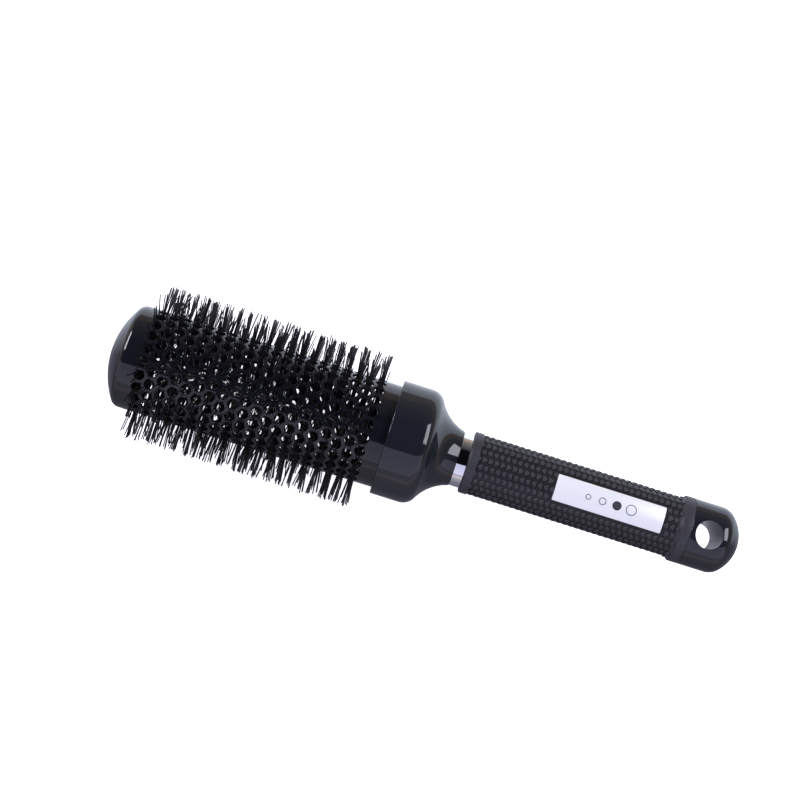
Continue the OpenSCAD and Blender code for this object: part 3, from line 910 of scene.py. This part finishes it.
def makeTail():
    outerR, endX, frontX = tailHigh.z, tailHigh.x, gripHigh.x
    edgeR = tail["edgeRadius"]
    edgeC = (endX - tail["roundLength"], outerR - edgeR)
    span = endX - edgeR
    domeX = (edgeC[1] ** 2 + edgeC[0] ** 2 - span ** 2) / (2 * (edgeC[0] - span))
    slope = math.degrees(math.atan2(edgeC[1], edgeC[0] - domeX))
    front = tail["frontEdge"]
    spigotR = tail["spigotRadius"]
    profile = [(tailLow.x, 0), (tailLow.x, spigotR), (frontX, spigotR)]
    profile += arc((frontX + front, outerR - front), front, 180, 90, 4)
    profile += arc(edgeC, edgeR, 90, slope, 16)
    profile += arc((domeX, 0), endX - domeX, slope, 0, 12)[1:]
    profile[-1] = (endX, 0)
    mesh = turned("tailCap", profile, closed=False, segments=160)
    piece = newPiece("tailCap", mesh, gloss, ["tail_cap"])
    bit = bpy.data.meshes.new("bit")
    work = bmesh.new()
    bmesh.ops.create_cone(work, cap_ends=True, segments=96, radius1=tail["holeRadius"],
                          radius2=tail["holeRadius"], depth=4 * outerR)
    work.to_mesh(bit)
    work.free()
    drill = bpy.data.objects.new("bit", bit)
    bpy.context.scene.collection.objects.link(drill)
    cut = piece.modifiers.new("hole", "BOOLEAN")
    cut.object = drill
    cut.solver = "EXACT"
    round_ = piece.modifiers.new("mouth", "BEVEL")
    round_.width = tail["mouth"]
    round_.segments = 4
    round_.limit_method = "ANGLE"
    round_.angle_limit = math.radians(40)
    bpy.context.view_layer.update()
    done = bpy.data.meshes.new_from_object(piece.evaluated_get(bpy.context.evaluated_depsgraph_get()))
    piece.modifiers.clear()
    piece.data = done
    smooth(done, 40)
    bpy.data.objects.remove(drill)
    return piece


makeTail()
print("label and tail made")


# CAD nodes that stay

stayingNodes = {"twisted_wire": wire, "nose_bush": inner, "rear_bush": inner, "handle_core": inner}
for nodeName, material in stayingNodes.items():
    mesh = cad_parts[nodeName].data
    mesh.materials.clear()
    mesh.materials.append(material)


# studio

studio = {"floor": "#f2f2f6", "glow": 0.92, "mirrorGlow": 1.5, "floorZ": -33.2 * mm,
          "floorX": (-1.1, 0.8), "floorY": (-1.25, 0.24)}


def addLight(name, place, target, alongSide, length, width, radiance, colour="#ffffff"):
    # a flat lamp that faces the target; alongSide is the direction of its long side
    lamp = bpy.data.lights.new(name, "AREA")
    lamp.shape = "RECTANGLE"
    lamp.size = length
    lamp.size_y = width
    lamp.energy = radiance * math.pi * length * width
    lamp.color = toLinear(colour)[:3]
    holder = bpy.data.objects.new(name, lamp)
    bpy.context.scene.collection.objects.link(holder)
    away = (Vector(place) - Vector(target)).normalized()
    side = Vector(alongSide)
    side = (side - away * side.dot(away)).normalized()
    facing = Matrix((side, away.cross(side), away)).transposed().to_4x4()
    holder.matrix_world = Matrix.Translation(place) @ facing
    return holder


def makeAir():
    # a dark studio with warm walls round the table; the camera itself sees pale paper
    world = bpy.data.worlds.new("studioAir")
    bpy.context.scene.world = world
    world.use_nodes = True
    tree = world.node_tree
    heading = addNode(tree, "ShaderNodeTexCoord").outputs["Generated"]
    split = addNode(tree, "ShaderNodeSeparateXYZ", {0: heading})
    ramp = addNode(tree, "ShaderNodeValToRGB", {0: split.outputs["Z"]})
    stops = ramp.color_ramp.elements
    stops[0].position = 0.0
    stops[0].color = toLinear("#b9a598")
    stops[1].position = 0.1
    stops[1].color = toLinear("#b0a090")
    for position, colour in ((0.14, "#8a8880"), (0.7, "#45454a"), (0.8, "#0c0c10")):
        stop = stops.new(position)
        stop.color = toLinear(colour)
    rays = addNode(tree, "ShaderNodeLightPath")
    seen = addNode(tree, "ShaderNodeMix", {"Factor": rays.outputs["Is Camera Ray"], 6: ramp,
                                           7: toLinear("#ffffff")}, data_type="RGBA")
    tree.links.new(seen.outputs[2], tree.nodes["Background"].inputs["Color"])


def makeStudio():
    floorMaterial, tree, shader = newMaterial("acrylicSheetLit", Roughness=0.9, Specular_IOR_Level=0.0)
    # the sheet glows softly; reflections find it bright beyond the brush, and a painted shadow makes it
    # dark under the brush and dim on the near side
    place = addNode(tree, "ShaderNodeTexCoord").outputs["Object"]
    across = addNode(tree, "ShaderNodeSeparateXYZ", {0: place}).outputs["Y"]
    where = addNode(tree, "ShaderNodeMapRange", {"Value": across, "From Min": -0.5, "From Max": 0.5})
    # painted shadow of the brush for reflected rays: the glow colour dips under the brush and stays dim on
    # the near side
    ramp = addNode(tree, "ShaderNodeValToRGB", {0: where})
    stops = ramp.color_ramp.elements
    stops[0].position = 0.0
    stops[0].color = [0.3, 0.3, 0.34, 1.0]
    stops[1].position = 0.33
    stops[1].color = [0.24, 0.24, 0.28, 1.0]
    for position, colour in ((0.46, (0.12, 0.12, 0.15, 1.0)), (0.5, (0.16, 0.16, 0.2, 1.0)),
                             (0.54, (0.8, 0.86, 1.0, 1.0)), (0.6, (0.8, 0.86, 1.0, 1.0))):
        stop = stops.new(position)
        stop.color = colour
    rays = addNode(tree, "ShaderNodeLightPath").outputs["Is Camera Ray"]
    glow = addNode(tree, "ShaderNodeMix", {"Factor": rays, 6: ramp, 7: toLinear("#f8f8ff")},
                   data_type="RGBA")
    tree.links.new(glow.outputs[2], shader.inputs["Emission Color"])
    power = addNode(tree, "ShaderNodeMapRange", {"Value": rays, "To Min": studio["mirrorGlow"],
                                                   "To Max": studio["glow"]})
    tree.links.new(power.outputs[0], shader.inputs["Emission Strength"])
    sheet = addNode(tree, "ShaderNodeMix", {
        "Factor": rays, 6: toLinear("#000000"), 7: toLinear(studio["floor"])}, data_type="RGBA")
    tree.links.new(sheet.outputs[2], shader.inputs["Base Color"])
    work = bmesh.new()
    (left, rightEnd), (near, far) = studio["floorX"], studio["floorY"]
    corners = ((left, near), (rightEnd, near), (rightEnd, far), (left, far))
    work.faces.new([work.verts.new((x, y, studio["floorZ"])) for x, y in corners])
    mesh = bpy.data.meshes.new("floor")
    work.to_mesh(mesh)
    work.free()
    mesh.materials.append(floorMaterial)
    floor = bpy.data.objects.new("floor", mesh)
    bpy.context.scene.collection.objects.link(floor)
    middle = (-0.12, 0, 0)
    addLight("nearPanel", (-0.12, -0.747, 0.684), middle, (1, 0, 0), 4.5, 0.84, 0.95, "#e0e0ff")
    addLight("lowPanel", (-0.12, -0.997, 0.176), middle, (1, 0, 0), 4.5, 0.36, 0.42, "#e0e0ff")
    addLight("leftBox", (-1.25, 0.63, 1.0), (-0.12, 0.63, 0), (0, 1, 0), 1.1, 0.45, 14.0, "#f4f4ff")
    addLight("rightBox", (1.0, 0.63, 1.0), (-0.12, 0.63, 0), (0, 1, 0), 1.1, 0.7, 7.0, "#f4f4ff")
    addLight("warmWall", (-1.3, 0.3, 0.2), (-0.25, 0.1, 0.2), (0, 1, 0), 1.4, 0.36, 1.6, "#c8a88c")
    makeAir()
    bpy.context.scene.view_settings.view_transform = "Standard"


makeStudio()
print("studio made")
